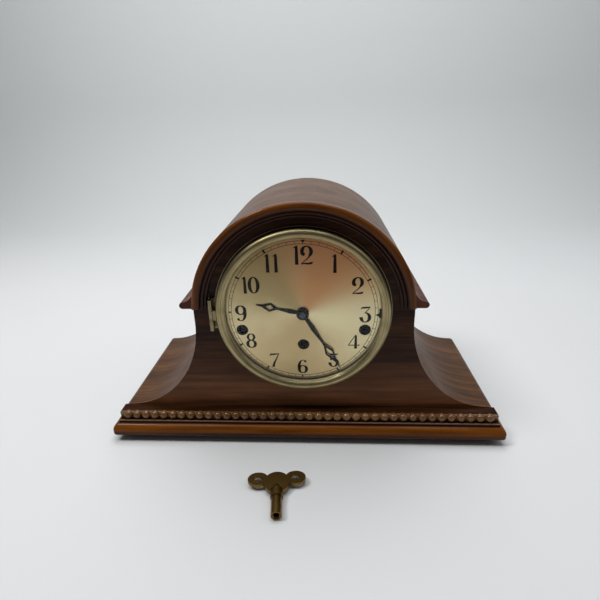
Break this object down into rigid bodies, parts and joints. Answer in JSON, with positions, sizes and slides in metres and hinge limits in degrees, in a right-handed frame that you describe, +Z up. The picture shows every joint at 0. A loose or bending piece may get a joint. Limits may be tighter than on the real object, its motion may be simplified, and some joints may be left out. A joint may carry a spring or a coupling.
{
  "type": "tambour shelf clock",
  "caption": "Wooden tambour shelf clock with hinged brass bezel, chiming spring movement, pendulum, back door and separate winding key.",
  "frame": {"origin": "on the table, under the centre of the base board", "axes": "+Z up, +X to the right seen from the front, the dial faces -Y"},
  "size_m": [0.38, 0.2582, 0.2297],
  "materials": {
    "dark_veneer": "gloss",
    "walnut_wrap": "satin",
    "red_moulding": "gloss",
    "bead_wood": "gloss",
    "carcass_wood": "matte",
    "foot_wood": "satin",
    "bezel_brass": "polished",
    "hinge_brass": "satin",
    "silvered_dial": "spun satin",
    "black_hands": "gloss",
    "nut_steel": "satin",
    "clear_glass": "clear",
    "movement_brass": "satin",
    "steel": "satin",
    "cast_block": "painted",
    "key_brass": "aged"
  },
  "bodies": {
    "case": {"feet": "foot_wood", "base_board": "red_moulding", "bead_moulding": "bead_wood", "front_panel": "carcass_wood", "front_veneer": "dark_veneer", "roof": "walnut_wrap", "shoulders": "walnut_wrap", "hood_moulding": "red_moulding", "side_cornices": "walnut_wrap", "back_board": "carcass_wood", "door_case_leaves": "hinge_brass", "bezel_seat_ring": "bezel_brass", "bezel_hinge_bracket": "hinge_brass", "dial_plate": "silvered_dial", "front_plate": "movement_brass", "back_plate": "movement_brass", "plate_pillars": "movement_brass", "back_cock": "movement_brass", "suspension_spring": "steel", "hammer_bridge": "movement_brass", "rod_block": "cast_block", "chime_rods": "steel"},
    "bezel": {"bezel_ring": "bezel_brass", "bezel_glass": "clear_glass", "bezel_hinge_arm": "hinge_brass"},
    "back_door": {"back_door": "carcass_wood", "door_leaves": "hinge_brass", "door_knob": "hinge_brass"},
    "silent_lever": {"silent_lever": "black_hands"},
    "minute_hand": {"minute_hand": "black_hands", "hand_nut": "nut_steel", "centre_wheel": "movement_brass"},
    "hour_hand": {"hour_hand": "black_hands", "hour_wheel": "movement_brass"},
    "minute_wheel": {"minute_wheel": "movement_brass"},
    "second_wheel": {"second_wheel": "movement_brass"},
    "time_barrel": {"time_barrel": "movement_brass"},
    "third_wheel": {"third_wheel": "movement_brass"},
    "escape_wheel": {"escape_wheel": "movement_brass"},
    "pendulum": {"pendulum_rod": "steel", "pendulum_bob": "movement_brass"},
    "verge": {"verge": "steel"},
    "strike_barrel": {"strike_barrel": "movement_brass"},
    "strike_second_wheel": {"strike_second_wheel": "movement_brass"},
    "strike_fly": {"strike_fly": "movement_brass"},
    "chime_barrel": {"chime_barrel": "movement_brass"},
    "chime_second_wheel": {"chime_second_wheel": "movement_brass"},
    "chime_fly": {"chime_fly": "movement_brass"},
    "chime_drum": {"chime_drum": "movement_brass"},
    "time_winding_arbor": {"time_winding_arbor": "steel"},
    "time_click": {"time_click": "steel"},
    "strike_winding_arbor": {"strike_winding_arbor": "steel"},
    "strike_click": {"strike_click": "steel"},
    "chime_winding_arbor": {"chime_winding_arbor": "steel"},
    "chime_click": {"chime_click": "steel"},
    "chime_hammer_1": {"chime_hammer_1": "movement_brass"},
    "chime_hammer_2": {"chime_hammer_2": "movement_brass"},
    "chime_hammer_3": {"chime_hammer_3": "movement_brass"},
    "chime_hammer_4": {"chime_hammer_4": "movement_brass"},
    "winding_key": {"winding_key": "key_brass"}
  },
  "joints": [
    {"name": "bezel_door", "type": "hinge", "parent": "case", "child": "bezel", "pos_m": [-0.0825, -0.066, 0.1297], "axis": [0, 0, -1], "range_deg": [0, 110]},
    {"name": "back_door_hinge", "type": "hinge", "parent": "case", "child": "back_door", "pos_m": [0.0785, 0.0814, 0.1297], "axis": [0, 0, -1], "range_deg": [0, 110]},
    {"name": "silent_lever_slide", "type": "slide", "parent": "case", "child": "silent_lever", "axis": [0, 0, 1], "range_m": [-0.0035, 0.0035]},
    {"name": "minute_hand_turn", "type": "hinge", "parent": "case", "child": "minute_hand", "pos_m": [0, 0, 0.1297], "axis": [0, 1, 0], "continuous": true},
    {"name": "hour_hand_turn", "type": "hinge", "parent": "case", "child": "hour_hand", "pos_m": [0, 0, 0.1297], "axis": [0, 1, 0], "continuous": true},
    {"name": "minute_wheel_turn", "type": "hinge", "parent": "case", "child": "minute_wheel", "pos_m": [0.01455, 0, 0.1381], "axis": [0, 1, 0], "continuous": true},
    {"name": "second_wheel_turn", "type": "hinge", "parent": "case", "child": "second_wheel", "pos_m": [0.02452, 0, 0.11618], "axis": [0, 1, 0], "continuous": true},
    {"name": "time_barrel_turn", "type": "hinge", "parent": "case", "child": "time_barrel", "pos_m": [0, 0, 0.0982], "axis": [0, 1, 0], "continuous": true},
    {"name": "third_wheel_turn", "type": "hinge", "parent": "case", "child": "third_wheel", "pos_m": [-0.018, 0, 0.14558], "axis": [0, 1, 0], "continuous": true},
    {"name": "escape_wheel_turn", "type": "hinge", "parent": "case", "child": "escape_wheel", "pos_m": [0, 0, 0.15822], "axis": [0, 1, 0], "continuous": true},
    {"name": "pendulum_swing", "type": "hinge", "parent": "case", "child": "pendulum", "pos_m": [0, 0, 0.17322], "axis": [0, 1, 0], "range_deg": [-4, 4], "deforming": ["suspension_spring"]},
    {"name": "verge_rock", "type": "hinge", "parent": "case", "child": "verge", "pos_m": [0, 0, 0.17322], "axis": [0, 1, 0], "range_deg": [-4, 4]},
    {"name": "strike_barrel_turn", "type": "hinge", "parent": "case", "child": "strike_barrel", "pos_m": [-0.056, 0, 0.1132], "axis": [0, 1, 0], "continuous": true},
    {"name": "strike_second_wheel_turn", "type": "hinge", "parent": "case", "child": "strike_second_wheel", "pos_m": [-0.04875, 0, 0.14025], "axis": [0, 1, 0], "continuous": true},
    {"name": "strike_fly_turn", "type": "hinge", "parent": "case", "child": "strike_fly", "pos_m": [-0.05171, 0, 0.15699], "axis": [0, 1, 0], "continuous": true},
    {"name": "chime_barrel_turn", "type": "hinge", "parent": "case", "child": "chime_barrel", "pos_m": [0.056, 0, 0.1132], "axis": [0, 1, 0], "continuous": true},
    {"name": "chime_second_wheel_turn", "type": "hinge", "parent": "case", "child": "chime_second_wheel", "pos_m": [0.04875, 0, 0.14025], "axis": [0, 1, 0], "continuous": true},
    {"name": "chime_fly_turn", "type": "hinge", "parent": "case", "child": "chime_fly", "pos_m": [0.05171, 0, 0.15699], "axis": [0, 1, 0], "continuous": true},
    {"name": "chime_drum_turn", "type": "hinge", "parent": "case", "child": "chime_drum", "pos_m": [0.05259, 0, 0.08541], "axis": [0, 1, 0], "continuous": true},
    {"name": "time_winding", "type": "hinge", "parent": "case", "child": "time_winding_arbor", "pos_m": [0, 0, 0.0982], "axis": [0, 1, 0], "continuous": true},
    {"name": "time_click_lift", "type": "hinge", "parent": "case", "child": "time_click", "pos_m": [0.00845, 0, 0.11409], "axis": [0, -1, 0], "range_deg": [0, 12], "stiffness_Nm_per_rad": 0.002, "springref_deg": -5.73},
    {"name": "strike_winding", "type": "hinge", "parent": "case", "child": "strike_winding_arbor", "pos_m": [-0.056, 0, 0.1132], "axis": [0, 1, 0], "continuous": true},
    {"name": "strike_click_lift", "type": "hinge", "parent": "case", "child": "strike_click", "pos_m": [-0.04755, 0, 0.12909], "axis": [0, -1, 0], "range_deg": [0, 12], "stiffness_Nm_per_rad": 0.002, "springref_deg": -5.73},
    {"name": "chime_winding", "type": "hinge", "parent": "case", "child": "chime_winding_arbor", "pos_m": [0.056, 0, 0.1132], "axis": [0, 1, 0], "continuous": true},
    {"name": "chime_click_lift", "type": "hinge", "parent": "case", "child": "chime_click", "pos_m": [0.06445, 0, 0.12909], "axis": [0, -1, 0], "range_deg": [0, 12], "stiffness_Nm_per_rad": 0.002, "springref_deg": -5.73},
    {"name": "chime_hammer_1_lift", "type": "hinge", "parent": "case", "child": "chime_hammer_1", "pos_m": [0.06059, 0, 0.06741], "axis": [0, -1, 0], "range_deg": [0, 10]},
    {"name": "chime_hammer_2_lift", "type": "hinge", "parent": "case", "child": "chime_hammer_2", "pos_m": [0.06059, 0, 0.06741], "axis": [0, -1, 0], "range_deg": [0, 10]},
    {"name": "chime_hammer_3_lift", "type": "hinge", "parent": "case", "child": "chime_hammer_3", "pos_m": [0.06059, 0, 0.06741], "axis": [0, -1, 0], "range_deg": [0, 10]},
    {"name": "chime_hammer_4_lift", "type": "hinge", "parent": "case", "child": "chime_hammer_4", "pos_m": [0.06059, 0, 0.06741], "axis": [0, -1, 0], "range_deg": [0, 10]},
    {"name": "winding_key_lift", "type": "slide", "parent": "case", "child": "winding_key", "axis": [0, 0, 1], "range_m": [0, 0.1]}
  ],
  "couplings": [
    {"joint": "hour_hand_turn", "follows": "minute_hand_turn", "ratio": 0.083333},
    {"joint": "minute_wheel_turn", "follows": "minute_hand_turn", "ratio": -0.33333},
    {"joint": "second_wheel_turn", "follows": "minute_hand_turn", "ratio": -0.16667},
    {"joint": "time_barrel_turn", "follows": "minute_hand_turn", "ratio": 0.025253},
    {"joint": "third_wheel_turn", "follows": "minute_hand_turn", "ratio": -11},
    {"joint": "escape_wheel_turn", "follows": "minute_hand_turn", "ratio": 110},
    {"joint": "verge_rock", "follows": "pendulum_swing", "ratio": 1},
    {"joint": "strike_second_wheel_turn", "follows": "strike_barrel_turn", "ratio": -6},
    {"joint": "strike_fly_turn", "follows": "strike_barrel_turn", "ratio": 45},
    {"joint": "chime_second_wheel_turn", "follows": "chime_barrel_turn", "ratio": -6},
    {"joint": "chime_fly_turn", "follows": "chime_barrel_turn", "ratio": 45},
    {"joint": "chime_drum_turn", "follows": "chime_barrel_turn", "ratio": -6}
  ]
}
